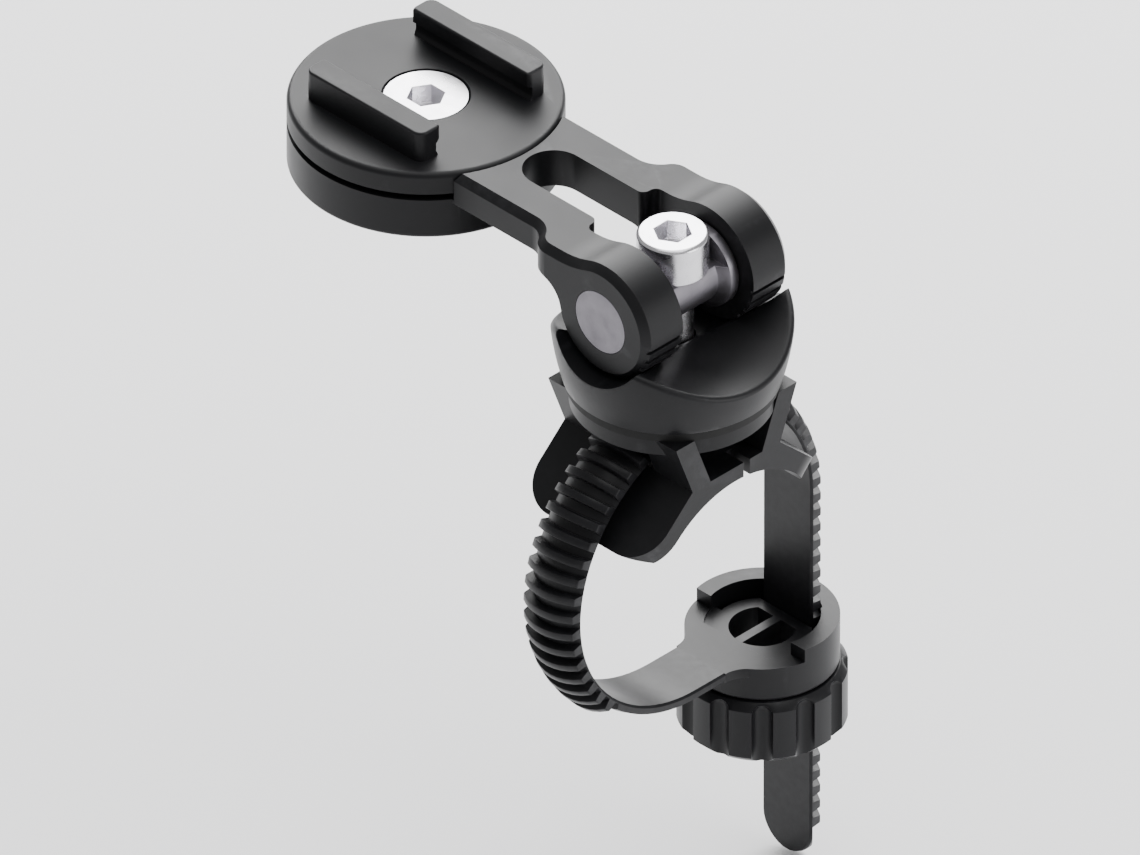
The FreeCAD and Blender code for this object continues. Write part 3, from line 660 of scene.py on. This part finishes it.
SOFTENED = {
    "foot": ("moulding", "moulded_black", 0.22),
    "cradle": ("moulding", "moulded_black", 0.12),
    "arm": ("anodised", "anodised_black", 0.14),
    "head_plate": ("plate", "moulded_black", 0.16),
    "strap_cup": ("strap", "strap_black", 0.2),
    "knob": ("knob", "knob_black", 0.25),
    "barrel_pin": ("pin_steel", "pin_steel", 0.12),
    "clamp_screw": ("cap_steel", "fastener_steel", 0.1),
    "head_screw": ("flat_steel", "fastener_steel", 0.08),
}


class MOUNT_OT_stage(bpy.types.Operator):
    """Lay the floor, hang the soft lights and set the camera"""
    bl_idname = "mount.stage"
    bl_label = "Stage"

    def execute(self, context):
        settings = context.scene.mount_stage
        lay_floor(settings)
        hang_lights()
        set_camera(settings)
        return {"FINISHED"}


def lay_floor(settings):
    """A wide pale floor just under the strap's tip."""
    level = CAD_BOX[0][2] - FLOOR_DROP
    bm = bmesh.new()
    bmesh.ops.create_grid(bm, x_segments=2, y_segments=2, size=FLOOR_SIZE)
    bmesh.ops.translate(bm, verts=bm.verts, vec=(0, 0, level))
    material, tree, shader = new_material("studio_floor")
    coords = tree.nodes.new("ShaderNodeTexCoord")
    cloud = tree.nodes.new("ShaderNodeTexNoise")
    cloud.inputs["Scale"].default_value = 3.0
    tone = tree.nodes.new("ShaderNodeMix")
    tone.data_type = "RGBA"
    tone.inputs["A"].default_value = (*settings.floor_colour, 1)
    tone.inputs["B"].default_value = (*(c * FLOOR_SHADE for c in settings.floor_colour), 1)
    tree.links.new(coords.outputs["Object"], cloud.inputs["Vector"])
    tree.links.new(cloud.outputs["Fac"], tone.inputs["Factor"])
    tree.links.new(tone.outputs["Result"], shader.inputs["Base Color"])
    shader.inputs["Roughness"].default_value = 0.9
    shader.inputs["Specular IOR Level"].default_value = 0.1
    floor = new_piece("studio_floor", bm, material)


def area_light(name, direction, distance, width, height, energy, target):
    """A rectangular softbox that looks at the target from one direction."""
    light = bpy.data.lights.new(name, "AREA")
    light.shape = "RECTANGLE"
    light.size = width
    light.size_y = height
    light.energy = energy
    lamp = bpy.data.objects.new(name, light)
    aim = Vector(direction).normalized()
    lamp.location = target + aim * distance
    lamp.rotation_euler = aim.to_track_quat("Z", "Y").to_euler()
    bpy.context.scene.collection.objects.link(lamp)


def hang_lights():
    """Three softboxes round the mount and an even pale world."""
    target = (Vector(CAD_BOX[0]) + Vector(CAD_BOX[1])) / 2
    area_light("back_softbox", (-0.55, 0.62, 0.62), 0.75, 0.9, 0.6, 17.0, target)
    area_light("overhead_softbox", (0.1, 0.05, 1.0), 0.8, 0.8, 0.8, 5.0, target)
    area_light("side_softbox", (1.0, 0.3, 0.12), 0.8, 0.4, 0.6, 4.0, target)
    world = bpy.data.worlds.new("studio_world")
    world.use_nodes = True
    world.node_tree.nodes["Background"].inputs["Color"].default_value = (1, 1, 1, 1)
    world.node_tree.nodes["Background"].inputs["Strength"].default_value = WORLD_STRENGTH
    bpy.context.scene.world = world


def set_camera(settings):
    """A very long lens at the corner view, so that parallel edges stay parallel."""
    data = bpy.data.cameras.new("view_camera")
    data.lens = LENS
    data.sensor_width = SENSOR_WIDTH
    camera = bpy.data.objects.new("view_camera", data)
    back = Vector((math.cos(settings.elevation) * math.sin(settings.azimuth),
                   -math.cos(settings.elevation) * math.cos(settings.azimuth),
                   math.sin(settings.elevation)))
    right = Vector((math.cos(settings.azimuth), math.sin(settings.azimuth), 0))
    up = back.cross(right)
    centre = right * CENTRE_RIGHT + up * CENTRE_UP
    distance = settings.frame_width / data.sensor_width * data.lens
    camera.location = centre + back * distance
    camera.rotation_euler = back.to_track_quat("Z", "Y").to_euler()
    data.clip_end = distance * CLIP_FAR
    data.clip_start = distance * CLIP_NEAR
    bpy.context.scene.collection.objects.link(camera)
    bpy.context.scene.camera = camera


class MOUNT_PT_panel(bpy.types.Panel):
    """Shows the build steps as buttons, with the mount's settings."""
    bl_label = "Phone Mount"
    bl_idname = "MOUNT_PT_panel"
    bl_space_type = "VIEW_3D"
    bl_region_type = "UI"
    bl_category = "Phone Mount"

    def draw(self, context):
        layout = self.layout
        for operator in OPERATORS:
            layout.operator(operator.bl_idname)
        for group, names in SETTINGS:
            box = layout.box()
            for name in names:
                box.prop(getattr(context.scene, group), name)


OPERATORS = (MOUNT_OT_materials, MOUNT_OT_strap, MOUNT_OT_housings, MOUNT_OT_stage)
GROUPS = (("mount_finish", MountFinish), ("mount_strap", MountStrap), ("mount_stage", MountStage))
SETTINGS = tuple((name, tuple(group.__annotations__)) for name, group in GROUPS)


def register():
    for name, group in GROUPS:
        bpy.utils.register_class(group)
        setattr(bpy.types.Scene, name, bpy.props.PointerProperty(type=group))
    for operator in OPERATORS:
        bpy.utils.register_class(operator)
    bpy.utils.register_class(MOUNT_PT_panel)


def unregister():
    bpy.utils.unregister_class(MOUNT_PT_panel)
    for operator in reversed(OPERATORS):
        bpy.utils.unregister_class(operator)
    for name, group in reversed(GROUPS):
        delattr(bpy.types.Scene, name)
        bpy.utils.unregister_class(group)


def main():
    register()
    for operator in OPERATORS:
        area, action = operator.bl_idname.split(".")
        if getattr(getattr(bpy.ops, area), action)() != {"FINISHED"}:
            raise RuntimeError(operator.bl_label + " did not finish")


if __name__ == "__main__":
    main()
